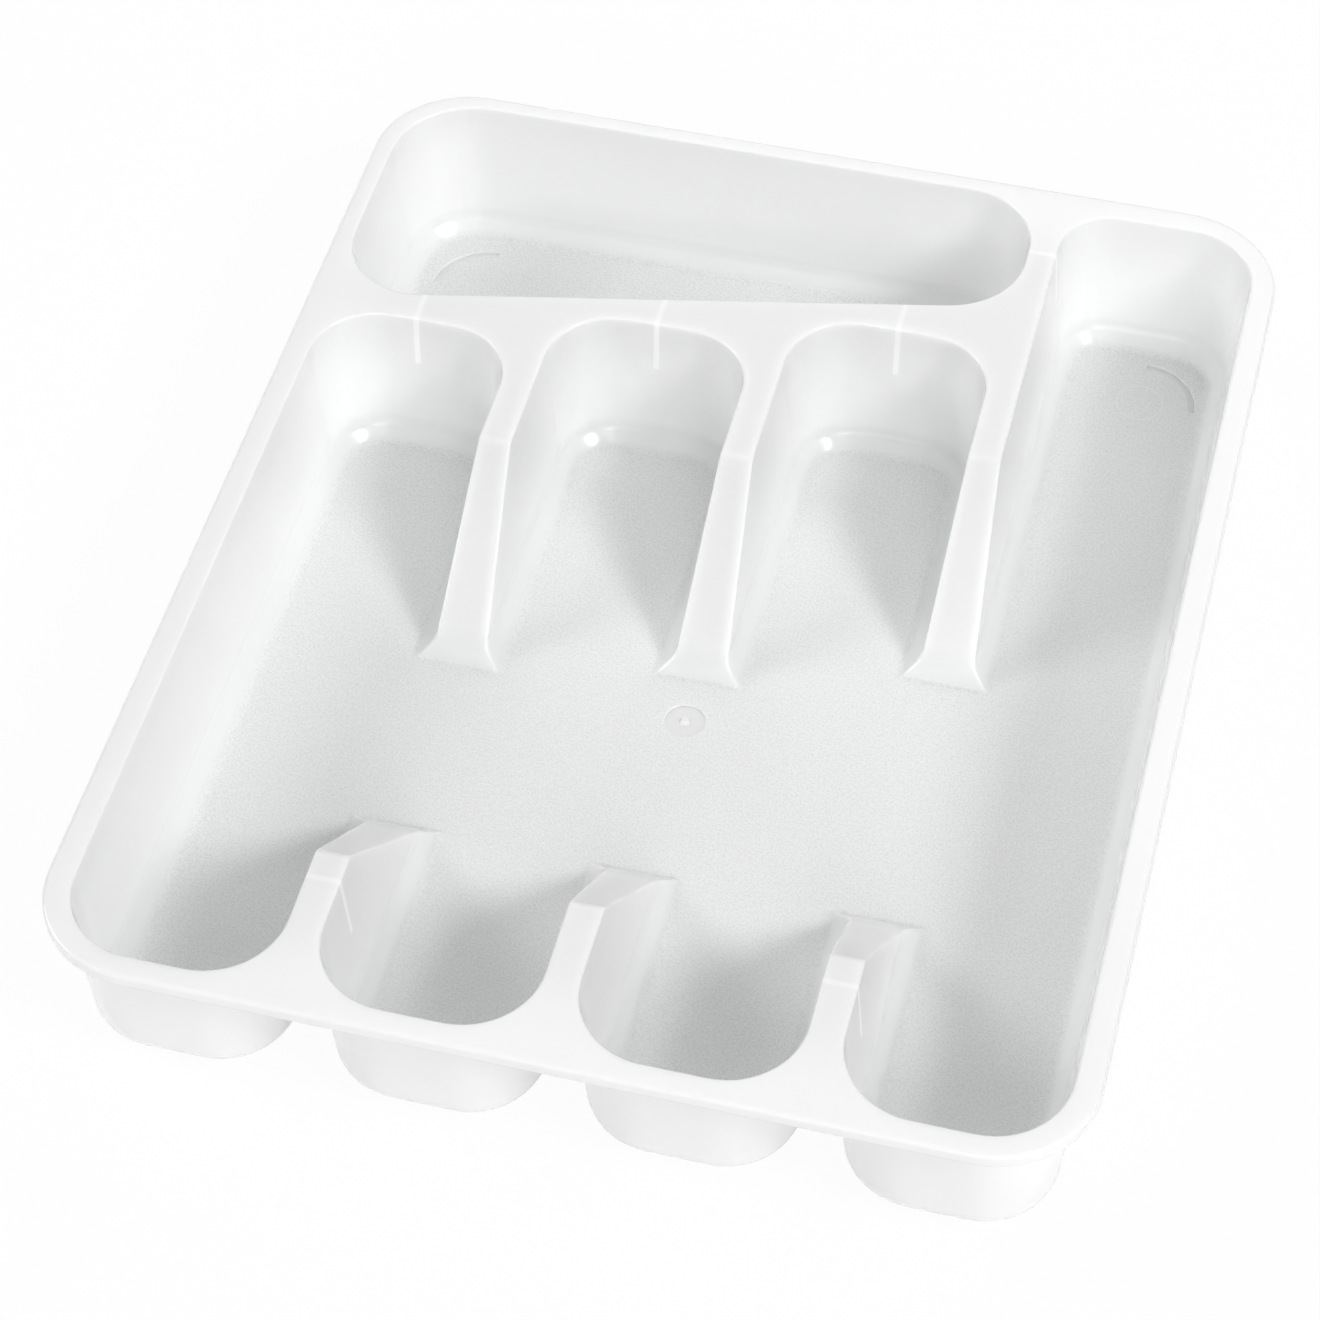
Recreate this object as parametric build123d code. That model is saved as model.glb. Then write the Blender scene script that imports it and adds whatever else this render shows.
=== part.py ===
from build123d import *
from math import radians, sqrt, tan
import os

# A one-piece cutlery tray, moulded in thin translucent plastic. X is its width, Y runs
# to the back, Z is up. The origin is under the middle of the rim, at the feet's height.

# Whole tray, in millimetres
TRAY_WIDTH = 260.0
TRAY_DEPTH = 321.0
INNER_DEPTH = 43.6
WALL = 1.8
FOOT_HEIGHT = 1.0
DRAFT_ANGLE = 4.0
FLOOR_RADIUS = 7.4

# Rim flange and its down-turned skirt
CORNER_RADIUS = 26.4
BACK_RIGHT_RADIUS = 28.6
SKIRT_DROP = 3.9
SKIRT_WALL = 1.5
RIM_CHAMFER = 0.6

# Four columns, side by side, open to each other over the middle of the tray; the outer
# ones are a little narrower than the inner ones
COLUMNS = 4
SIDE_FLANGE = 7.0
FRONT_FLANGE = 6.1
OUTER_COLUMN_LESS = 0.9
DIVIDER_WIDTH = 8.8
FRONT_CORNER_RADIUS = 19.8
BACK_CORNER_RADIUS = 18.4
COLUMN_CROWN = 1.8
RIGHT_BACK_FLANGE = 7.0
RIGHT_INNER_RADIUS = 15.3
RIGHT_OUTER_RADIUS = 19.4
RIGHT_CROWN = 0.6

# Oblique compartment behind the first three columns; its front edge starts this far
# from the back of the tray, on the middle line
OBLIQUE_ANGLE = 12.1
OBLIQUE_SETBACK = 61.5
COMPARTMENT_BACK_FLANGE = 4.9
COMPARTMENT_LEFT_FLANGE = 5.4
COMPARTMENT_END_WEB = 7.9
COLUMN_END_WEB = 10.4
LEFT_BACK_RADIUS = 23.4
LEFT_FRONT_RADIUS = 20.4
RIGHT_BACK_END_RADIUS = 20.4
RIGHT_FRONT_END_RADIUS = 22.4

# Dividers between the columns: how far back each back one starts, the length of the
# front ones, and the ramps at their ends
LEFT_CREST_Y = 29.0
MIDDLE_CREST_Y = 38.9
RIGHT_CREST_Y = 53.6
FRONT_DIVIDER_LENGTH = 41.3
RAMP_ANGLE = 45.0
CREST_ROUND = 3.0

# Stiffening ribs under the web and under two of the front dividers
RIB_WALL = 1.4
WEB_RIB_DROP = 16.4
WEB_RIB_PITCH = 64.9
MIDDLE_RIB_X = -33.0
END_RIB_BACK = 26.1
DIVIDER_RIB_DROP = 20.0
DIVIDER_RIB_SETBACK = 8.1

# Arc feet near the corners: a bead under the floor and a groove over it
FOOT_RADIUS = 14.8
FOOT_WIDTH = 1.8
FOOT_GROOVE = 0.7
FOOT_SIDE_INSET = 32.9
FOOT_END_INSET = 34.3

# Gate mark: a dish in the floor with a nub in its middle
GATE_Y = -18.1
GATE_RADIUS = 5.5
GATE_DEPTH = 0.7
NUB_RADIUS = 1.6
NUB_HEIGHT = 1.1
NUB_TIP_RADIUS = 0.9

# One overrun serves all cuts
OVERRUN = 5.0

# Leg of a 45 degree flat that touches a round halfway, as a share of the round's radius
FLAT_SHARE = 2 - sqrt(2)

RIM_TOP = FOOT_HEIGHT + WALL + INNER_DEPTH
FLOOR_TOP = FOOT_HEIGHT + WALL
FRONT_EDGE = FRONT_FLANGE - TRAY_DEPTH / 2
FRONT_CREST_Y = FRONT_EDGE + FRONT_DIVIDER_LENGTH
RIGHT_COLUMN = COLUMNS - 1
COLUMNS_WIDTH = TRAY_WIDTH - 2 * (SIDE_FLANGE - OUTER_COLUMN_LESS)
DIVIDER_PITCH = (COLUMNS_WIDTH + DIVIDER_WIDTH) / COLUMNS


def divider_x(gap):
    """Centre line of the dividers between two columns."""
    return DIVIDER_PITCH * (gap - (COLUMNS - 2) / 2)


def column_sides(column):
    """Left and right edge of a column's mouth."""
    wall = TRAY_WIDTH / 2 - SIDE_FLANGE
    left = divider_x(column - 1) + DIVIDER_WIDTH / 2 if column else -wall
    right = wall if column == RIGHT_COLUMN else divider_x(column) - DIVIDER_WIDTH / 2
    return left, right


def oblique_y(x):
    """Front edge of the oblique compartment at the rim."""
    return TRAY_DEPTH / 2 - OBLIQUE_SETBACK + x * tan(radians(OBLIQUE_ANGLE))


def rounded(outline, corners):
    """Outline with the corner nearest each point rounded to its radius."""
    for x, y, radius in corners:
        nearest = outline.vertices().sort_by_distance((x, y, 0))[0]
        outline = fillet(nearest, radius)
    return outline


def rim_outline(inset):
    """Outer outline of the rim, drawn in by an inset."""
    x = TRAY_WIDTH / 2
    y = TRAY_DEPTH / 2
    corners = [(side * x, -y, CORNER_RADIUS) for side in (-1, 1)]
    corners += [(-x, y, CORNER_RADIUS), (x, y, BACK_RIGHT_RADIUS)]
    outline = rounded(Rectangle(TRAY_WIDTH, TRAY_DEPTH), corners)
    return offset(outline, amount=-inset) if inset else outline


def column_outline(column):
    """Mouth of a column: straight sides, and a slightly crowned back end."""
    left, right = column_sides(column)
    x = (left + right) / 2
    if column == RIGHT_COLUMN:
        back = TRAY_DEPTH / 2 - RIGHT_BACK_FLANGE
        crown = RIGHT_CROWN
        back_radii = (RIGHT_INNER_RADIUS, RIGHT_OUTER_RADIUS)
    else:
        back = oblique_y(x) - COLUMN_END_WEB
        crown = COLUMN_CROWN
        back_radii = (BACK_CORNER_RADIUS, BACK_CORNER_RADIUS)
    shoulder = back - crown
    sides = Polyline((left, shoulder), (left, FRONT_EDGE), (right, FRONT_EDGE), (right, shoulder))
    end = ThreePointArc((right, shoulder), (x, back), (left, shoulder))
    corners = [(left, FRONT_EDGE, FRONT_CORNER_RADIUS), (right, FRONT_EDGE, FRONT_CORNER_RADIUS)]
    corners += [(left, shoulder, back_radii[0]), (right, shoulder, back_radii[1])]
    return rounded(make_face([*sides.edges(), end]), corners)


def compartment_outline():
    """Mouth of the oblique compartment, with a nearly half-round right end."""
    left = COMPARTMENT_LEFT_FLANGE - TRAY_WIDTH / 2
    back = TRAY_DEPTH / 2 - COMPARTMENT_BACK_FLANGE
    right = column_sides(RIGHT_COLUMN)[0] - COMPARTMENT_END_WEB
    corners = [(left, back, LEFT_BACK_RADIUS), (left, oblique_y(left), LEFT_FRONT_RADIUS)]
    corners += [(right, oblique_y(right), RIGHT_FRONT_END_RADIUS), (right, back, RIGHT_BACK_END_RADIUS)]
    shape = Polyline(*[(x, y) for x, y, radius in corners], close=True)
    return rounded(make_face(shape.edges()), corners)


def pocket(outline, grow):
    """Drafted pocket under a mouth, grown by a wall, with a flat that touches its floor round."""
    mouth = offset(outline, amount=grow) if grow else outline
    body = extrude(Pos(0, 0, RIM_TOP) * mouth, INNER_DEPTH + grow, dir=(0, 0, -1), taper=DRAFT_ANGLE)
    return chamfer(body.edges().group_by(Axis.Z)[0], FLAT_SHARE * (FLOOR_RADIUS + grow))


def trough(gap, back_crest, grow):
    """Open space over the floor between two columns, with a ramp at each end."""
    run = INNER_DEPTH / tan(radians(RAMP_ANGLE))
    crests = [(FRONT_CREST_Y, RIM_TOP, CREST_ROUND), (back_crest, RIM_TOP, CREST_ROUND)]
    points = [(back_crest + OVERRUN, RIM_TOP + OVERRUN), (back_crest + OVERRUN, RIM_TOP)]
    points += [(back_crest, RIM_TOP), (back_crest - run, FLOOR_TOP), (FRONT_CREST_Y + run, FLOOR_TOP)]
    points += [(FRONT_CREST_Y, RIM_TOP), (FRONT_CREST_Y - OVERRUN, RIM_TOP)]
    points += [(FRONT_CREST_Y - OVERRUN, RIM_TOP + OVERRUN)]
    profile = rounded(make_face(Polyline(*points, close=True).edges()), crests)
    if grow:
        profile = offset(profile, amount=grow, kind=Kind.INTERSECTION)
    reach = DIVIDER_PITCH / 2
    return Pos(divider_x(gap), 0, 0) * extrude(Plane.YZ * profile, reach, both=True)


def pockets(grow):
    """The compartment and the four columns, before the dividers between them are cut."""
    space = pocket(compartment_outline(), grow)
    for column in range(COLUMNS):
        space += pocket(column_outline(column), grow)
    return space


def troughs(grow):
    """The open space over the middle of the floor, from column to column."""
    crests = (LEFT_CREST_Y, MIDDLE_CREST_Y, RIGHT_CREST_Y)
    return Part() + [trough(gap, back_crest, grow) for gap, back_crest in enumerate(crests)]


def rim():
    """Flange plate over the whole outline, with its skirt."""
    plate = extrude(Pos(0, 0, RIM_TOP) * rim_outline(0), WALL, dir=(0, 0, -1))
    ring = rim_outline(0) - rim_outline(SKIRT_WALL)
    skirt = extrude(Pos(0, 0, RIM_TOP) * ring, SKIRT_DROP, dir=(0, 0, -1))
    lip = plate + skirt
    top_edges = lip.faces().sort_by(Axis.Z)[-1].outer_wire().edges()
    return chamfer(top_edges, RIM_CHAMFER)


def rib(x, y, along_x, along_y, drop):
    """Plate under the web; what stands in a pocket or trough is cut away later."""
    plate = Box(along_x, along_y, drop - WALL / 2, align=(Align.CENTER, Align.CENTER, Align.MAX))
    return Pos(x, y, RIM_TOP - WALL / 2) * plate


def ribs():
    """Ribs behind the first three columns, beside the right one, and under two dividers."""
    plates = []
    for place in (-1, 0, 1):
        x = MIDDLE_RIB_X + WEB_RIB_PITCH * place
        y = oblique_y(x) - COLUMN_END_WEB / 2
        plates.append(rib(x, y, RIB_WALL, COLUMN_END_WEB + 2 * OVERRUN, WEB_RIB_DROP))
    x = column_sides(RIGHT_COLUMN)[0] - COMPARTMENT_END_WEB / 2
    y = TRAY_DEPTH / 2 - END_RIB_BACK
    plates.append(rib(x, y, COMPARTMENT_END_WEB + 2 * OVERRUN, RIB_WALL, WEB_RIB_DROP))
    for gap in (0, RIGHT_COLUMN - 1):
        x = divider_x(gap)
        width = DIVIDER_WIDTH + 2 * OVERRUN
        plates.append(rib(x, FRONT_CREST_Y - DIVIDER_RIB_SETBACK, width, RIB_WALL, DIVIDER_RIB_DROP))
    return plates


def foot_places():
    """Centre of each arc foot, and the angle at which its quarter turn starts."""
    x = TRAY_WIDTH / 2 - FOOT_SIDE_INSET
    y = TRAY_DEPTH / 2 - FOOT_END_INSET
    return [(x, y, 0), (-x, y, 90), (-x, -y, 180), (x, -y, 270)]


def foot_arc(x, y, start):
    """Quarter turn of a narrow band."""
    reach = FOOT_RADIUS + FOOT_WIDTH
    ring = Circle(FOOT_RADIUS + FOOT_WIDTH / 2) - Circle(FOOT_RADIUS - FOOT_WIDTH / 2)
    quarter = ring & Rectangle(reach, reach, align=(Align.MIN, Align.MIN))
    return Pos(x, y, 0) * Rot(0, 0, start) * quarter


def floor_details(body):
    """Feet and gate mark, added to the floor and cut into it."""
    for x, y, start in foot_places():
        band = foot_arc(x, y, start)
        body += extrude(Pos(0, 0, FOOT_HEIGHT + WALL / 2) * band, FOOT_HEIGHT + WALL / 2, dir=(0, 0, -1))
        body -= extrude(Pos(0, 0, FLOOR_TOP - FOOT_GROOVE) * band, FOOT_GROOVE)
    gate = Pos(0, GATE_Y, FLOOR_TOP - GATE_DEPTH)
    up = (Align.CENTER, Align.CENTER, Align.MIN)
    body -= gate * Cylinder(GATE_RADIUS, GATE_DEPTH, align=up)
    return body + gate * Cone(NUB_RADIUS, NUB_TIP_RADIUS, NUB_HEIGHT, align=up)


def tray_body():
    """Whole tray: rim, walls and ribs, hollowed by the pockets and the open space."""
    below = Pos(0, 0, RIM_TOP / 2) * Box(TRAY_WIDTH, TRAY_DEPTH, RIM_TOP)
    shell = rim() + ((pockets(WALL) + troughs(WALL)) & below) + ribs()
    return floor_details(shell - pockets(0) - troughs(0))


tray = tray_body()

os.makedirs("parts", exist_ok=True)
export_step(tray, "parts/tray_moulding.step")
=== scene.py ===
"""Looks of a one-piece cutlery tray, moulded in milky natural polypropylene.

The tray is one shell, so its looks are one piece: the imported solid's own mesh, merged,
with every edge rounded as a mould rounds it, dressed in a translucent plastic whose skin
carries the mould's fine grain. A studio with one soft key light, a pale floor and the
photograph's camera go round it.
"""

import logging
import math
from dataclasses import dataclass, field
from enum import Enum

import bmesh
import bpy
from mathutils import Matrix, Vector


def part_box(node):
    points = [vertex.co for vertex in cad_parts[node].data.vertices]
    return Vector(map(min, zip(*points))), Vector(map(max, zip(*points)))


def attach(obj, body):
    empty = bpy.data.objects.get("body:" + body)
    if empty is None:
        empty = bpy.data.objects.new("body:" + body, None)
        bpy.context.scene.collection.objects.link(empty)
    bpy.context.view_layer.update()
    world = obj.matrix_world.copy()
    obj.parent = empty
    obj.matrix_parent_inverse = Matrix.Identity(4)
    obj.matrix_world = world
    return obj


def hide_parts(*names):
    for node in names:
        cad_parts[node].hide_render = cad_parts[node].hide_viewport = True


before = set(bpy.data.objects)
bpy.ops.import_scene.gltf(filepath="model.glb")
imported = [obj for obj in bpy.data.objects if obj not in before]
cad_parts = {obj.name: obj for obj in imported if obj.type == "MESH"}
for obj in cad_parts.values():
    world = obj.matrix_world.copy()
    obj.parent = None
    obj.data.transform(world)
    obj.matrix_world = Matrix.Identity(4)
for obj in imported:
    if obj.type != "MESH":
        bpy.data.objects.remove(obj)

logging.basicConfig(level=logging.INFO, format="%(message)s")
LOG = logging.getLogger("cutlery_tray")

MM = 0.001
PHOTO_SIDE = 1320
TRAY_NODE = "tray_moulding"
BODY = "root"
WHITE = "#ffffff"

# Nodes that the materials use often, with their settings
MATH = "ShaderNodeMath"
RANGE = "ShaderNodeMapRange"
MIX = "ShaderNodeMix"
TIMES = {"operation": "MULTIPLY"}
MINUS = {"operation": "SUBTRACT"}
WITHOUT_SIGN = {"operation": "ABSOLUTE"}
THE_LARGER = {"operation": "MAXIMUM"}
SMOOTHLY = {"interpolation_type": "SMOOTHSTEP"}
OF_COLOURS = {"data_type": "RGBA"}
# Place of the mixed colour among the outputs of a node that mixes colours
COLOUR = 2

Tree = bpy.types.NodeTree
Socket = bpy.types.NodeSocket
Axes = bpy.types.bpy_prop_collection


def linear(colour: str) -> tuple[float, float, float, float]:
    """Turn an sRGB hex colour to linear light.

    Args:
        colour: the colour as "#rrggbb".

    Returns:
        Red, green, blue and alpha, in linear light.
    """
    parts = [int(colour[i : i + 2], 16) / 255 for i in (1, 3, 5)]
    light = [p / 12.92 if p <= 0.04045 else ((p + 0.055) / 1.055) ** 2.4 for p in parts]
    return (*light, 1.0)


def add_node(
    tree: Tree, kind: str, settings: dict[str, object] | None = None, **inputs: object
) -> bpy.types.Node:
    """Add one node to a tree, with its settings, values and links.

    Args:
        tree: the node tree that gets the node.
        kind: the node's Blender type name.
        settings: attributes of the node itself, such as its operation.
        **inputs: values or output sockets for its inputs, by socket name with
            underscores for spaces, or "i" and a number for a socket's place.

    Returns:
        The new node.
    """
    node = tree.nodes.new(kind)
    for name, value in (settings or {}).items():
        setattr(node, name, value)
    for name, value in inputs.items():
        place = int(name[1:]) if name[1:].isdigit() else name.replace("_", " ")
        socket = node.inputs[place]
        if isinstance(value, Socket):
            tree.links.new(value, socket)
        else:
            socket.default_value = value
    return node


def seen_directly(tree: Tree) -> Socket:
    """Tell the rays that look at a thing from those that only carry its light.

    Args:
        tree: the node tree that asks.

    Returns:
        1 for camera, glossy and transmission rays, and 0 for the others.
    """
    rays = add_node(tree, "ShaderNodeLightPath").outputs
    seen = rays["Is Camera Ray"]
    for other in ("Is Glossy Ray", "Is Transmission Ray"):
        seen = add_node(tree, MATH, THE_LARGER, i0=seen, i1=rays[other]).outputs["Value"]
    return seen


class EdgeKind(Enum):
    """Kinds of edge on the moulding that the mould rounds, and the reach of each round.

    Attributes:
        UNDERSIDE: both edges of the slanting strip under the floor.
        FLOOR: both edges of the slanting strip between the floor and the walls.
        LIP: mouths of the compartments, and ridges of the dividers.
        FOOT_LINE: foot of a divider's ramp.
        RIM: outer edge of the flange, and lower edge of its skirt.
        TRIM: grooves and gate dish in the floor, and beads under it.
    """

    UNDERSIDE = 2.1 * MM
    FLOOR = 1.6 * MM
    LIP = 0.55 * MM
    FOOT_LINE = 0.7 * MM
    RIM = 0.4 * MM
    TRIM = 0.18 * MM


@dataclass(frozen=True)
class Rib:
    """A stiffening rib behind the wall, given by the plate that it is cut from.

    Attributes:
        centre: middle of the plate, across and along the tray, in metres.
        half: half of the plate's size, across and along the tray, in metres.
        drop: how far it reaches down from the rim, in metres.
    """

    centre: tuple[float, float]
    half: tuple[float, float]
    drop: float


@dataclass(frozen=True)
class PinMark:
    """The round mark that one of the mould's ejector pins leaves on the floor.

    Attributes:
        centre: its middle, across and along the tray, in metres.
        radius: its radius, in metres.
    """

    centre: tuple[float, float]
    radius: float


@dataclass(frozen=True)
class Landmarks:
    """Places on the tray that its finish follows.

    Attributes:
        top: height of the rim, in metres.
        floor_top: height of the tray's floor, in metres.
        fillet: height of the round between the floor and the walls, in metres.
        ribs: the ribs that show through the wall.
        pin: the ejector pin's mark.
    """

    top: float
    floor_top: float
    fillet: float
    ribs: tuple[Rib, ...]
    pin: PinMark


@dataclass(frozen=True)
class MilkyPolypropylene:
    """Natural polypropylene homopolymer, injection moulded and left uncoloured.

    The resin's crystals scatter light inside the wall, so thin places glow and folds go
    grey instead of black. The mould's spark-eroded floor gives a fine satin grain, and its
    polished walls a softer sheen. The floor and its fillet are coloured greyer than the
    walls, partly for the eroded skin and partly as painted shade. Where a rib stands behind
    the wall, a painted glow (emission) draws a lighter streak, standing in for light that
    the rib leads up from below.

    Attributes:
        body: colour of the scattered light.
        shade: colour of the slight clouding that the melt's flow leaves.
        eroded: colour of the spark-eroded floor and its fillet, greyer than the walls partly
        for the eroded skin and partly as painted shade.
        hollow: colour in the hollows of the floor's grain.
        ior: index of refraction of polypropylene.
        mean_path: mean free path of light in the wall, in metres, the same for all
            colours, which is what makes the plastic look like watered milk.
        floor_roughness: roughness where the mould is spark-eroded.
        wall_roughness: roughness where the mould is polished.
        grain: width of one grain of the floor's texture, in metres; the real grain is
            near 0.3 mm, too fine for the render, so it is drawn at this width.
        grain_depth: height of that texture, in metres.
        grain_harshness: how strongly its finest spots show, from 0 to 1.
        hollows: heights of the texture at which a hollow begins and is full.
        waviness: width of the slow waves that the melt's shrinkage leaves, in metres.
        wave_depth: height of those waves, in metres.
        wave_harshness: how strongly their finest spots show, from 0 to 1.
        layers: number of finer spots laid over each pattern's own.
        grain_fade: height at which the grain ends, as a share of the fillet.
        eroded_tone_and_shade_fade: heights between which the floor's colour, partly the
        eroded skin's tone and partly painted shade, turns to the walls', as shares of
        the fillet; it reaches over the whole fillet, well above where the grain ends.
        cut_edge: depth at which a groove or dish in the floor is polished again, in metres.
        painted_rib_glow: strength of a painted glow (emission) over a rib, standing in
        for light that the rib leads up from below, as a share of white.
        soft_edge: width over which a rib's streak fades, in metres.
        pin_line: width of the line round an ejector pin's mark, in metres.
        pin_shine: how far that line is as light as the walls, from 0 to 1.
    """

    body: str = "#fbfbfb"
    shade: str = "#f6f7f7"
    eroded: str = "#f0f1f1"
    hollow: str = "#e0e1e1"
    ior: float = 1.49
    mean_path: float = 3.5 * MM
    floor_roughness: float = 0.42
    wall_roughness: float = 0.18
    grain: float = 0.55 * MM
    grain_depth: float = 0.02 * MM
    grain_harshness: float = 0.7
    hollows: tuple[float, float] = (0.6, 0.35)
    waviness: float = 26 * MM
    wave_depth: float = 0.06 * MM
    wave_harshness: float = 0.45
    layers: float = 2.0
    grain_fade: float = 0.2
    eroded_tone_and_shade_fade: tuple[float, float] = (0.5, 1.1)
    cut_edge: float = 0.1 * MM
    painted_rib_glow: float = 0.12
    soft_edge: float = 0.5 * MM
    pin_line: float = 0.35 * MM
    pin_shine: float = 0.4

    def build(self, marks: Landmarks) -> bpy.types.Material:
        """Make the material.

        Args:
            marks: the places on the tray that the finish follows.

        Returns:
            The material, read in Object coordinates.
        """
        material = bpy.data.materials.new("milky_polypropylene")
        material.use_nodes = True
        tree = material.node_tree
        tree.nodes.clear()
        place = add_node(tree, "ShaderNodeTexCoord").outputs["Object"]
        axes = add_node(tree, "ShaderNodeSeparateXYZ", Vector=place).outputs
        eroded = self.spark_eroded(tree, axes["Z"], marks)
        grain, waves = (
            add_node(
                tree, "ShaderNodeTexNoise",
                Vector=place, Scale=1 / width, Detail=self.layers, Roughness=harshness,
            ).outputs["Fac"]
            for width, harshness in (
                (self.grain, self.grain_harshness), (self.waviness, self.wave_harshness)
            )
        )
        satin = add_node(
            tree, RANGE, i0=eroded, i3=self.wall_roughness, i4=self.floor_roughness
        ).outputs["Result"]
        painted_glow_area = self.painted_glow_area(tree, axes, marks)
        # Painted glow: emission over the ribs stands in for light that they lead up from below
        glow = add_node(tree, MATH, TIMES, i0=painted_glow_area, i1=self.painted_rib_glow).outputs["Value"]
        plastic = add_node(
            tree, "ShaderNodeBsdfPrincipled", {"subsurface_method": "RANDOM_WALK"},
            Base_Color=self.colour(tree, axes, eroded, grain, waves, marks),
            Roughness=satin, IOR=self.ior, Normal=self.relief(tree, eroded, grain, waves),
            Subsurface_Weight=1.0, Subsurface_Radius=(1.0, 1.0, 1.0),
            Subsurface_Scale=self.mean_path,
            Emission_Color=linear(WHITE), Emission_Strength=glow,
        )
        add_node(tree, "ShaderNodeOutputMaterial", Surface=plastic.outputs["BSDF"])
        return material

    def spark_eroded(self, tree: Tree, height: Socket, marks: Landmarks) -> Socket:
        """Say where the mould is spark-eroded: on the floor, but not in what is cut in it.

        Args:
            tree: the material's nodes.
            height: the place's height.
            marks: the places on the tray that the finish follows.

        Returns:
            1 on the floor and 0 on the walls, in the grooves and in the gate's dish.
        """
        floor = marks.floor_top
        above, cut = (
            add_node(tree, RANGE, SMOOTHLY, i0=height, i1=end, i2=floor).outputs["Result"]
            for end in (floor + self.grain_fade * marks.fillet, floor - self.cut_edge)
        )
        return add_node(tree, MATH, TIMES, i0=above, i1=cut).outputs["Value"]

    def relief(self, tree: Tree, eroded: Socket, grain: Socket, waves: Socket) -> Socket:
        """Give the skin its slow waves, and the floor its grain on top of them.

        Args:
            tree: the material's nodes.
            eroded: where the mould is spark-eroded.
            grain: the grain's pattern.
            waves: the waves' pattern.

        Returns:
            The way that the skin faces.
        """
        on_floor = add_node(tree, MATH, TIMES, i0=grain, i1=eroded).outputs["Value"]
        wavy = add_node(
            tree, "ShaderNodeBump", Strength=1.0, Distance=self.wave_depth, Height=waves
        ).outputs["Normal"]
        return add_node(
            tree, "ShaderNodeBump",
            Strength=1.0, Distance=self.grain_depth, Height=on_floor, Normal=wavy,
        ).outputs["Normal"]

    def colour(
        self, tree: Tree, axes: Axes, eroded: Socket, grain: Socket, waves: Socket,
        marks: Landmarks,
    ) -> Socket:
        """Colour the walls, the floor with its hollows, and the ejector pin's mark.

        Args:
            tree: the material's nodes.
            axes: the place's coordinates.
            eroded: where the mould is spark-eroded.
            grain: the grain's pattern.
            waves: the waves' pattern.
            marks: the places on the tray that the finish follows.

        Returns:
            The colour, with the floor's greyer colour, partly painted shade, carried up
            over the fillet.
        """
        # Painted shade: the floor's greyer colour reaches up over the whole fillet, darkening the
        # corner between floor and wall
        full, none = (marks.floor_top + share * marks.fillet for share in self.eroded_tone_and_shade_fade)
        low = add_node(tree, RANGE, SMOOTHLY, i0=axes["Z"], i1=none, i2=full)
        start, end = self.hollows
        deep = add_node(tree, RANGE, SMOOTHLY, i0=grain, i1=start, i2=end)
        pits = add_node(tree, MATH, TIMES, i0=deep.outputs["Result"], i1=eroded)
        mark = self.pin_mark(tree, axes, marks.pin)
        line = add_node(tree, MATH, TIMES, i0=mark, i1=self.pin_shine)
        walls = add_node(
            tree, MIX, OF_COLOURS, i0=waves, i6=linear(self.body), i7=linear(self.shade)
        )
        floor = add_node(
            tree, MIX, OF_COLOURS,
            i0=pits.outputs["Value"], i6=linear(self.eroded), i7=linear(self.hollow),
        )
        marked = add_node(
            tree, MIX, OF_COLOURS,
            i0=line.outputs["Value"], i6=floor.outputs[COLOUR], i7=linear(self.body),
        )
        return add_node(
            tree, MIX, OF_COLOURS,
            i0=low.outputs["Result"], i6=walls.outputs[COLOUR], i7=marked.outputs[COLOUR],
        ).outputs[COLOUR]

    @staticmethod
    def away(tree: Tree, value: Socket, middle: float) -> Socket:
        """Say how far a value is from a number."""
        apart = add_node(tree, MATH, MINUS, i0=value, i1=middle).outputs["Value"]
        return add_node(tree, MATH, WITHOUT_SIGN, i0=apart).outputs["Value"]

    def painted_glow_area(self, tree: Tree, axes: Axes, marks: Landmarks) -> Socket:
        """Say where a rib stands behind the wall.

        Args:
            tree: the material's nodes.
            axes: the place's coordinates.
            marks: the places on the tray that the finish follows.

        Returns:
            Where the painted glow goes: 1 over a rib and 0 elsewhere, with a soft edge;
            half on the rim itself, where the light has to turn to come out.
        """
        soft = self.soft_edge
        found = None
        for rib in marks.ribs:
            end = marks.top - rib.drop
            over = add_node(
                tree, RANGE, SMOOTHLY, i0=axes["Z"], i1=end - soft, i2=end + soft
            ).outputs["Result"]
            for axis, middle, half in zip("XY", rib.centre, rib.half):
                apart = self.away(tree, axes[axis], middle)
                within = add_node(
                    tree, RANGE, SMOOTHLY, i0=apart, i1=half + soft, i2=half - soft
                ).outputs["Result"]
                over = add_node(tree, MATH, TIMES, i0=over, i1=within).outputs["Value"]
            if found is not None:
                over = add_node(tree, MATH, THE_LARGER, i0=found, i1=over).outputs["Value"]
            found = over
        under_rim = add_node(
            tree, RANGE, SMOOTHLY,
            i0=axes["Z"], i1=marks.top + 2 * soft, i2=marks.top - 2 * soft,
        ).outputs["Result"]
        return add_node(tree, MATH, TIMES, i0=found, i1=under_rim).outputs["Value"]

    def pin_mark(self, tree: Tree, axes: Axes, pin: PinMark) -> Socket:
        """Draw the faint line round an ejector pin's mark.

        Args:
            tree: the material's nodes.
            axes: the place's coordinates.
            pin: the mark.

        Returns:
            1 on the line and 0 elsewhere.
        """
        across, along = (
            self.away(tree, axes[axis], middle) for axis, middle in zip("XY", pin.centre)
        )
        apart = add_node(tree, "ShaderNodeCombineXYZ", X=across, Y=along).outputs["Vector"]
        reach = add_node(
            tree, "ShaderNodeVectorMath", {"operation": "LENGTH"}, i0=apart
        ).outputs["Value"]
        from_line = self.away(tree, reach, pin.radius)
        return add_node(
            tree, RANGE, SMOOTHLY, i0=from_line, i1=self.pin_line, i2=0.0
        ).outputs["Result"]


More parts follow.
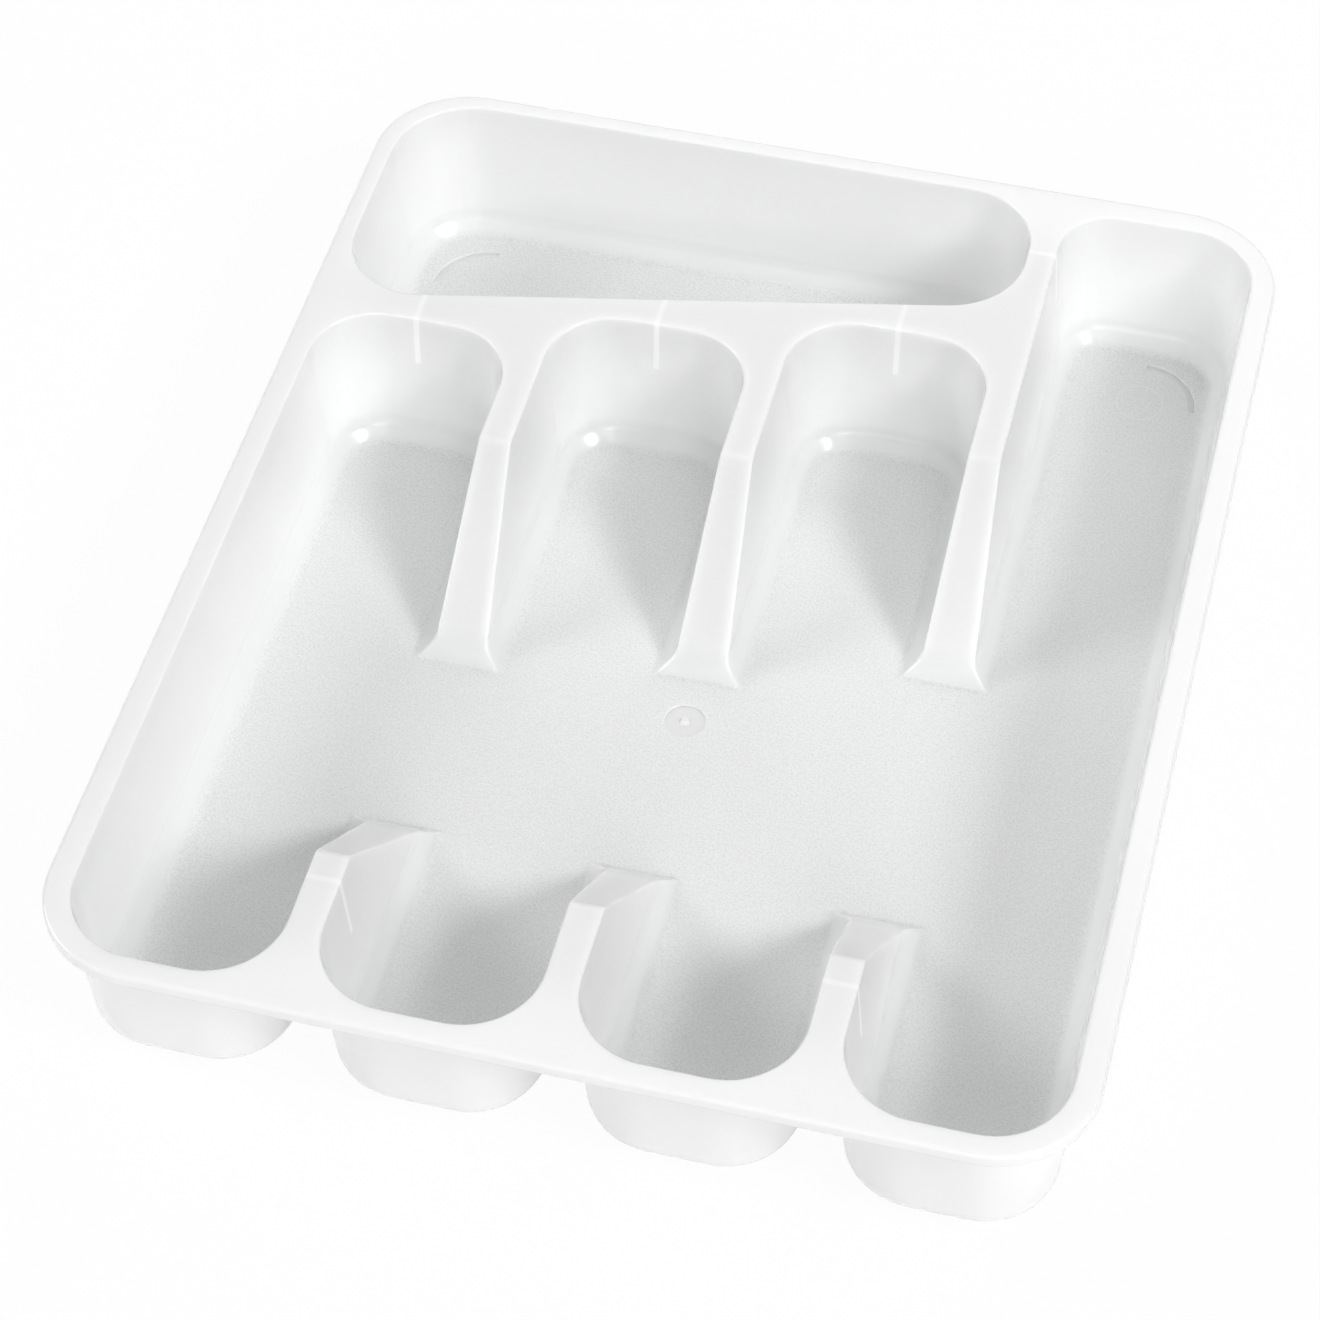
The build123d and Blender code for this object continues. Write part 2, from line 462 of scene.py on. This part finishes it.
@dataclass
class TrayMoulding:
    """The whole tray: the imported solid's mesh with its edges rounded.

    Attributes:
        node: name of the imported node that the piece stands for.
        finish: the plastic it is moulded in.
        foot_height: height of the arc feet under the floor, in metres.
        wall: thickness of the wall, in metres.
        floor_radius: radius between the floor and the walls, in metres.
        skirt_drop: height of the down-turned skirt, in metres.
        rim_depth: depth under the rim in which an edge belongs to it, in metres.
        lip_rise: height over the floor from which an edge belongs to a mouth or a
            ridge, in metres.
        near: distance under which two heights count as one, in metres.
        weld: distance under which two corners are one, in metres.
        flat_bend: bend under which two faces count as one flat, in degrees.
        strip_bend: the same, in the slanting strips between floor and walls.
        sharp_bend: bend from which an edge is rounded, in degrees.
        blunt_bend: bend up to which an edge lies between a slant and a flat, in degrees.
        square_bend: bend from which an edge lies between a wall and a flat, in degrees.
        crease_bend: bend from which an edge left as it is looks sharp, in degrees.
        faces_up: upward part of a face's direction, from which it faces up.
        nearly_level: the same part, from which it is almost level.
        wholly_level: the same part, from which it is level.
        strip_slope: the same part at both ends of what counts as a slanting strip.
        ramp_slope: the same part at both ends of what counts as a divider's ramp.
        segments: number of strips in each round.
        flat_pull: how strongly the flats hold the shading of their corners, in percent.
        ribs: the stiffening ribs under the web and under two of the front dividers.
        pin: the ejector pin's mark on the floor.
        top: height of the rim, in metres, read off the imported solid.
        floor_top: height of the tray's floor, in metres.
    """

    node: str
    finish: MilkyPolypropylene
    foot_height: float = 1.0 * MM
    wall: float = 1.8 * MM
    floor_radius: float = 7.4 * MM
    skirt_drop: float = 3.9 * MM
    rim_depth: float = 1.0 * MM
    lip_rise: float = 0.5 * MM
    near: float = 0.02 * MM
    weld: float = 0.001 * MM
    flat_bend: float = 1.0
    strip_bend: float = 8.0
    sharp_bend: float = 24.0
    blunt_bend: float = 60.0
    square_bend: float = 80.0
    crease_bend: float = 50.0
    faces_up: float = 0.5
    nearly_level: float = 0.99
    wholly_level: float = 0.9999
    strip_slope: tuple[float, float] = (0.4, 0.9)
    ramp_slope: tuple[float, float] = (0.6, 0.8)
    segments: int = 3
    flat_pull: int = 100
    ribs: tuple[Rib, ...] = (
        Rib((-97.9 * MM, 72.8 * MM), (0.7 * MM, 10.2 * MM), 16.4 * MM),
        Rib((-33.0 * MM, 86.7 * MM), (0.7 * MM, 10.2 * MM), 16.4 * MM),
        Rib((31.9 * MM, 100.6 * MM), (0.7 * MM, 10.2 * MM), 16.4 * MM),
        Rib((64.6 * MM, 134.4 * MM), (8.9 * MM, 0.7 * MM), 16.4 * MM),
        Rib((-64.15 * MM, -121.2 * MM), (9.4 * MM, 0.7 * MM), 20.0 * MM),
        Rib((64.15 * MM, -121.2 * MM), (9.4 * MM, 0.7 * MM), 20.0 * MM),
    )
    pin: PinMark = PinMark((97.1 * MM, 126.2 * MM), 6.5 * MM)
    top: float = field(init=False)
    floor_top: float = field(init=False)

    def __post_init__(self) -> None:
        """Work out the heights that the rest is measured from."""
        self.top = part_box(self.node)[1][2]
        self.floor_top = self.foot_height + self.wall

    def build(self) -> bpy.types.Object:
        """Make the piece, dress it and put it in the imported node's place.

        Returns:
            The dressed tray.
        """
        shape = self.merged()
        self.mark(shape)
        piece = self.rounded(shape)
        self.even_out(piece)
        piece.data.materials.clear()
        marks = Landmarks(self.top, self.floor_top, self.floor_radius, self.ribs, self.pin)
        piece.data.materials.append(self.finish.build(marks))
        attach(piece, BODY)
        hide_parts(self.node)
        return piece

    def merged(self) -> bmesh.types.BMesh:
        """Copy the node's loose triangles into one closed shape of flats and strips.

        Returns:
            The closed shape.
        """
        shape = bmesh.new()
        shape.from_mesh(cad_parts[self.node].data)
        bmesh.ops.remove_doubles(shape, verts=shape.verts, dist=self.weld)
        flat, strip = (math.radians(bend) for bend in (self.flat_bend, self.strip_bend))
        bmesh.ops.dissolve_limit(shape, angle_limit=flat, verts=shape.verts, edges=shape.edges)
        shape.normal_update()
        strips = [edge for edge in shape.edges if all(map(self.in_strip, edge.link_faces))]
        bmesh.ops.dissolve_limit(shape, angle_limit=strip, edges=strips)
        straight = [vert for vert in shape.verts if self.on_straight(vert)]
        bmesh.ops.dissolve_verts(shape, verts=straight)
        shape.normal_update()
        return shape

    def in_strip(self, face: bmesh.types.BMFace) -> bool:
        """Say whether a face is in the slanting strip between the floor and a wall."""
        low, high = (pick(v.co.z for v in face.verts) for pick in (min, max))
        under = self.foot_height if face.normal.z < 0 else self.floor_top
        least, most = self.strip_slope
        slanting = least < abs(face.normal.z) < most
        return slanting and under - self.near < low and high < under + self.floor_radius

    def on_straight(self, vert: bmesh.types.BMVert) -> bool:
        """Say whether a vertex only divides one straight edge."""
        if len(vert.link_edges) != 2:
            return False
        one, other = (edge.other_vert(vert).co - vert.co for edge in vert.link_edges)
        return one.angle(-other) < math.radians(2 * self.flat_bend)

    def kind(self, edge: bmesh.types.BMEdge) -> EdgeKind | None:
        """Say which kind an edge is.

        Args:
            edge: an edge of the closed shape.

        Returns:
            Its kind, or None where it isn't rounded.
        """
        bend = math.degrees(edge.calc_face_angle_signed(0.0))
        if abs(bend) < self.sharp_bend:
            return None
        low, high = sorted(v.co.z for v in edge.verts)
        upward = max(face.normal.z for face in edge.link_faces)
        level = high - low < self.near
        over_floor = low > self.floor_top - self.near
        # A hollow edge is rounded only where the floor or a ramp's foot begins
        if bend < 0:
            in_fillet = over_floor and high < self.floor_top + self.floor_radius
            if not (level and in_fillet and upward > self.faces_up):
                return None
            return EdgeKind.FOOT_LINE if self.meets_ramp(edge) else EdgeKind.FLOOR
        blunt = bend < self.blunt_bend
        if level and blunt and low > self.near and high < self.floor_radius:
            if upward < self.faces_up:
                return EdgeKind.UNDERSIDE
        if blunt and low > self.top - self.rim_depth:
            return EdgeKind.RIM
        if level and abs(low - self.top + self.skirt_drop) < self.near:
            return EdgeKind.RIM
        if over_floor and upward > self.faces_up and high > self.floor_top + self.lip_rise:
            return EdgeKind.LIP
        # The grooves and the gate's dish in the floor, and the beads under it
        if level and abs(low - self.floor_top) < self.near and upward > self.nearly_level:
            return EdgeKind.TRIM
        if level and low < self.near and bend > self.square_bend:
            return EdgeKind.TRIM
        return None

    def meets_ramp(self, edge: bmesh.types.BMEdge) -> bool:
        """Say whether an edge is at the foot of a divider's ramp."""
        least, most = self.ramp_slope
        return any(
            least < face.normal.z < most
            and max(v.co.z for v in face.verts) > self.floor_top + 2 * self.floor_radius
            for face in edge.link_faces
        )

    def mark(self, shape: bmesh.types.BMesh) -> None:
        """Write on every edge how far its round reaches, as a share of the largest.

        Args:
            shape: the closed shape.
        """
        share = shape.edges.layers.float.new("bevel_weight_edge")
        reach = max(kind.value for kind in EdgeKind)
        count = dict.fromkeys(EdgeKind, 0)
        for edge in shape.edges:
            kind = self.kind(edge)
            if kind:
                edge[share] = kind.value / reach
                count[kind] += 1
        LOG.info("edges rounded: %s", {kind.name: n for kind, n in count.items()})

    def rounded(self, shape: bmesh.types.BMesh) -> bpy.types.Object:
        """Round the marked edges.

        Args:
            shape: the closed shape, with its edges marked; it is used up.

        Returns:
            The rounded tray, with its place in its mesh.
        """
        mesh = bpy.data.meshes.new("tray")
        shape.to_mesh(mesh)
        shape.free()
        piece = bpy.data.objects.new("tray", mesh)
        bpy.context.collection.objects.link(piece)
        rounds = piece.modifiers.new("mould_rounds", "BEVEL")
        rounds.limit_method = "WEIGHT"
        rounds.width = max(kind.value for kind in EdgeKind)
        rounds.segments = self.segments
        rounds.use_clamp_overlap = False
        rounds.loop_slide = False
        self.settle(piece)
        return piece

    def even_out(self, piece: bpy.types.Object) -> None:
        """Lay the large flats anew and shade the tray smooth.

        Args:
            piece: the rounded tray.
        """
        shape = bmesh.new()
        shape.from_mesh(piece.data)
        for height, way in ((self.top, 1), (self.floor_top, 1), (self.foot_height, -1)):
            self.lay_flat(shape, height, way)
        for face in shape.faces:
            face.smooth = True
        crease = math.radians(self.crease_bend)
        for edge in shape.edges:
            edge.smooth = len(edge.link_faces) == 2 and edge.calc_face_angle(0.0) < crease
        shape.to_mesh(piece.data)
        shape.free()
        normals = piece.modifiers.new("flat_faces_stay_flat", "WEIGHTED_NORMAL")
        normals.weight = self.flat_pull
        normals.keep_sharp = True
        self.settle(piece)

    def lay_flat(self, shape: bmesh.types.BMesh, height: float, way: int) -> None:
        """Replace the faces of one level flat by clean triangles.

        Args:
            shape: the rounded tray.
            height: height of the flat.
            way: 1 where it faces up, -1 where it faces down.
        """
        flat = [
            face
            for face in shape.faces
            if face.normal.z * way > self.wholly_level
            and all(abs(v.co.z - height) < self.near for v in face.verts)
        ]
        inside = set(flat)
        border = [
            edge
            for edge in {edge for face in flat for edge in face.edges}
            if sum(face in inside for face in edge.link_faces) == 1
        ]
        bmesh.ops.delete(shape, geom=flat, context="FACES_ONLY")
        loose = [edge for edge in shape.edges if not edge.link_faces]
        bmesh.ops.delete(shape, geom=loose, context="EDGES")
        bmesh.ops.triangle_fill(shape, use_beauty=True, edges=border, normal=(0, 0, way))

    @staticmethod
    def settle(piece: bpy.types.Object) -> None:
        """Turn the piece's modifiers into its mesh."""
        settled = piece.evaluated_get(bpy.context.evaluated_depsgraph_get())
        piece.data = bpy.data.meshes.new_from_object(settled)
        piece.modifiers.clear()


@dataclass(frozen=True)
class MattPaper:
    """Uncoated white paper: matt, so it gives no glint and shows only the tray's shadow.

    Attributes:
        colour: colour of the paper.
        roughness: roughness of its fibres.
        shine: strength of its reflection, against 0.5 for a smooth plastic.
        white: how far it looks plain white, from 0 to 1; the rest keeps the shadow.
    """

    colour: str = "#f8f8f8"
    roughness: float = 0.9
    shine: float = 0.1
    white: float = 0.95

    def build(self) -> bpy.types.Material:
        """Make the material.

        Returns:
            The material.
        """
        material = bpy.data.materials.new("matt_white_paper")
        material.use_nodes = True
        tree = material.node_tree
        tree.nodes.clear()
        paper = add_node(
            tree, "ShaderNodeBsdfPrincipled", Base_Color=linear(self.colour),
            Roughness=self.roughness, Specular_IOR_Level=self.shine,
        )
        white = add_node(tree, "ShaderNodeEmission", Color=linear(WHITE), Strength=1.0)
        share = add_node(tree, MATH, TIMES, i0=seen_directly(tree), i1=self.white)
        both = add_node(
            tree, "ShaderNodeMixShader", i0=share.outputs["Value"],
            i1=paper.outputs["BSDF"], i2=white.outputs["Emission"],
        )
        add_node(tree, "ShaderNodeOutputMaterial", Surface=both.outputs["Shader"])
        return material


@dataclass(frozen=True)
class SoftLamp:
    """A square diffuser before a lamp.

    Attributes:
        name: what the lamp is for.
        place: middle of the diffuser, in metres.
        aim: point that it faces, in metres.
        side: side of the diffuser, in metres.
        power: power of the lamp, in watts.
    """

    name: str
    place: tuple[float, float, float]
    aim: tuple[float, float, float]
    side: float
    power: float

    def build(self) -> bpy.types.Object:
        """Hang the lamp.

        Returns:
            The lamp.
        """
        data = bpy.data.lights.new(self.name, "AREA")
        data.shape = "SQUARE"
        data.size = self.side
        data.energy = self.power
        lamp = bpy.data.objects.new(self.name, data)
        bpy.context.collection.objects.link(lamp)
        way = Vector(self.aim) - Vector(self.place)
        lamp.location = self.place
        lamp.rotation_euler = way.to_track_quat("-Z", "Y").to_euler()
        return lamp


@dataclass
class Studio:
    """White floor and surroundings, one soft key light from the right and five fills.

    Attributes:
        paper: the floor's finish.
        floor_reach: half the floor's side, in metres.
        sky: strength of the light from all round.
        lamps: the lamps; the front one hangs to the right, so that the dividers' ramps
            don't mirror it.
    """

    paper: MattPaper
    floor_reach: float = 6.0
    sky: float = 0.06
    lamps: tuple[SoftLamp, ...] = (
        SoftLamp("key_right", (2.79, -1.07, 2.63), (0, 0, 0), 1.1, 77.0),
        SoftLamp("fill_above", (0, 0.35, 1.0), (0, 0.05, 0), 0.7, 1.4),
        SoftLamp("fill_back", (0, 1.0, 0.8), (0, 0, 0), 0.8, 2.8),
        SoftLamp("fill_front", (0.8, -3.1, 2.2), (0, 0, 0), 1.6, 38.0),
        SoftLamp("fill_front_low", (0, -3.8, 1.1), (0, 0, 0), 1.6, 20.0),
        SoftLamp("fill_left", (-3.2, 0, 2.2), (0, 0, 0), 1.6, 52.0),
    )

    def build(self) -> None:
        """Make the floor, the surroundings and the lamps."""
        self.floor()
        self.surroundings()
        for lamp in self.lamps:
            lamp.build()

    def floor(self) -> None:
        """Lay the floor under the tray's feet."""
        reach = self.floor_reach
        corners = [(-reach, -reach, 0), (reach, -reach, 0), (reach, reach, 0), (-reach, reach, 0)]
        mesh = bpy.data.meshes.new("studio_floor")
        mesh.from_pydata(corners, [], [(0, 1, 2, 3)])
        mesh.materials.append(self.paper.build())
        floor = bpy.data.objects.new("studio_floor", mesh)
        bpy.context.collection.objects.link(floor)

    def surroundings(self) -> None:
        """Light the tray faintly from all round, before a white background."""
        world = bpy.data.worlds.new("studio")
        world.use_nodes = True
        tree = world.node_tree
        tree.nodes.clear()
        light, white = (
            add_node(tree, "ShaderNodeBackground", Color=linear(WHITE), Strength=strength)
            for strength in (self.sky, 1.0)
        )
        both = add_node(
            tree, "ShaderNodeMixShader", i0=seen_directly(tree),
            i1=light.outputs["Background"], i2=white.outputs["Background"],
        )
        add_node(tree, "ShaderNodeOutputWorld", Surface=both.outputs["Shader"])
        bpy.context.scene.world = world


@dataclass
class PhotoCamera:
    """Camera at the place and angle that the photograph was taken from.

    Attributes:
        focal: focal length, in pixels of the photograph.
        azimuth: turn to the right of straight in front, in degrees.
        elevation: height above the horizon, in degrees.
        roll: turn about the line of sight, in degrees.
        target: point on the rim's plane that it looks at, in metres.
        distance: distance from that point, in metres.
        sensor: width of the sensor, in millimetres.
        sight: distances between which it sees, in metres.
    """

    focal: float = 3717.02
    azimuth: float = 15.2
    elevation: float = 49.99
    roll: float = 1.01
    target: tuple[float, float, float] = (-2.08 * MM, -34.67 * MM, 46.4 * MM)
    distance: float = 943.6 * MM
    sensor: float = 36.0
    sight: tuple[float, float] = (0.05, 50.0)

    def build(self) -> bpy.types.Object:
        """Place the camera and make it the scene's own.

        Returns:
            The camera.
        """
        turn, rise, roll = (math.radians(a) for a in (self.azimuth, self.elevation, self.roll))
        back = Vector(
            (math.sin(turn) * math.cos(rise), -math.cos(turn) * math.cos(rise), math.sin(rise))
        )
        right = (-back).cross(Vector((0, 0, 1))).normalized()
        down = (-back).cross(right)
        across = math.cos(roll) * right + math.sin(roll) * down
        below = -math.sin(roll) * right + math.cos(roll) * down
        data = bpy.data.cameras.new("photo_camera")
        data.sensor_width = self.sensor
        data.lens = self.focal * self.sensor / PHOTO_SIDE
        data.clip_start, data.clip_end = self.sight
        camera = bpy.data.objects.new("photo_camera", data)
        bpy.context.collection.objects.link(camera)
        axes = Matrix((across, -below, back)).transposed().to_4x4()
        place = Vector(self.target) + back * self.distance
        camera.matrix_world = Matrix.Translation(place) @ axes
        bpy.context.scene.camera = camera
        return camera


def main() -> None:
    """Build the tray, the studio and the camera, in that order."""
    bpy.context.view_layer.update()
    bpy.context.scene.view_settings.view_transform = "Standard"
    tray = TrayMoulding(TRAY_NODE, MilkyPolypropylene()).build()
    LOG.info("tray: %d faces", len(tray.data.polygons))
    Studio(MattPaper()).build()
    LOG.info("studio: floor, surroundings and lamps")
    PhotoCamera().build()
    LOG.info("camera: at the photograph's place")


if __name__ == "__main__":
    main()
